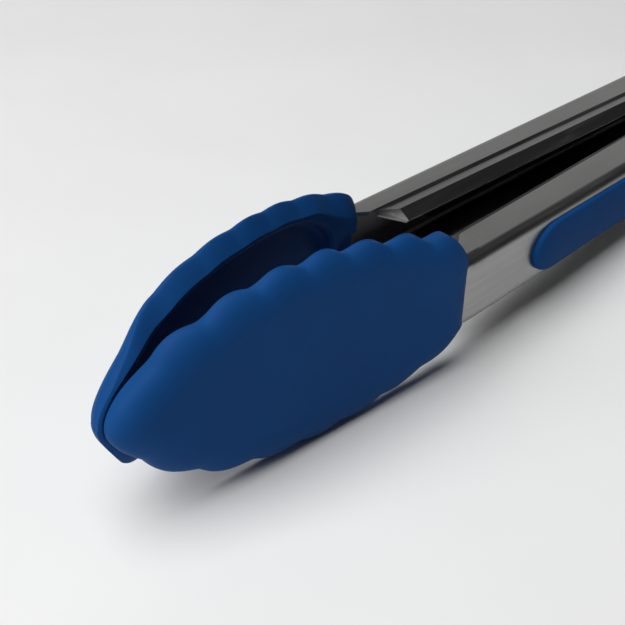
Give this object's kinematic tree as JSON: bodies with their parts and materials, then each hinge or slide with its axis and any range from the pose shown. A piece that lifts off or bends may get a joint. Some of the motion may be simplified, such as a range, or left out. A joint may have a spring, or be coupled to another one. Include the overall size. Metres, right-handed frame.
{
  "type": "spring loaded kitchen tongs",
  "caption": "Spring loaded kitchen tongs with scalloped silicone heads, pressed steel arms, soft grips and a pull-tab lock.",
  "frame": {"origin": "centre of the bounding box of the closed, locked tongs", "axes": "+X along the tongs from the tips to the pull tab, +Y across the two arms from the near arm to the far arm, +Z along the hinge rivet"},
  "size_m": [0.32, 0.0386, 0.0416],
  "materials": {
    "arm_steel": "brushed along the arms, satin",
    "silicone": "matte moulded silicone, dark blue",
    "grip_silicone": "matte moulded soft grip, dark blue",
    "carrier_nylon": "moulded black nylon",
    "rivet_steel": "turned and formed steel",
    "washer_nylon": "natural nylon",
    "spool_nylon": "moulded black nylon",
    "spring_steel": "drawn bright spring wire",
    "tab_plastic": "moulded black nylon, fine texture"
  },
  "bodies": {
    "hinge": {"pivot_rivet": "rivet_steel", "spring_spool": "spool_nylon", "torsion_spring": "spring_steel", "washer_upper": "washer_nylon", "washer_lower": "washer_nylon"},
    "far_arm": {"arm_far": "arm_steel", "head_far": "silicone", "grip_far": "grip_silicone", "grip_carrier_far": "carrier_nylon"},
    "near_arm": {"arm_near": "arm_steel", "head_near": "silicone", "grip_near": "grip_silicone", "grip_carrier_near": "carrier_nylon"},
    "lock": {"lock_tab": "tab_plastic"}
  },
  "joints": [
    {"name": "far_arm_hinge", "type": "hinge", "parent": "hinge", "child": "far_arm", "pos_m": [0.129, 0, 0], "axis": [0, 0, -1], "range_deg": [0, 12], "stiffness_Nm_per_rad": 0.12, "springref_deg": 28.65},
    {"name": "near_arm_hinge", "type": "hinge", "parent": "hinge", "child": "near_arm", "pos_m": [0.129, 0, 0], "axis": [0, 0, 1], "range_deg": [0, 12], "stiffness_Nm_per_rad": 0.12, "springref_deg": 28.65},
    {"name": "lock_slide", "type": "slide", "parent": "hinge", "child": "lock", "axis": [-1, 0, 0], "range_m": [0, 0.014]}
  ],
  "couplings": [
    {"joint": "near_arm_hinge", "follows": "far_arm_hinge", "ratio": 1},
    {"joint": "lock_slide", "follows": "far_arm_hinge", "m_per_rad": 0.0668}
  ]
}
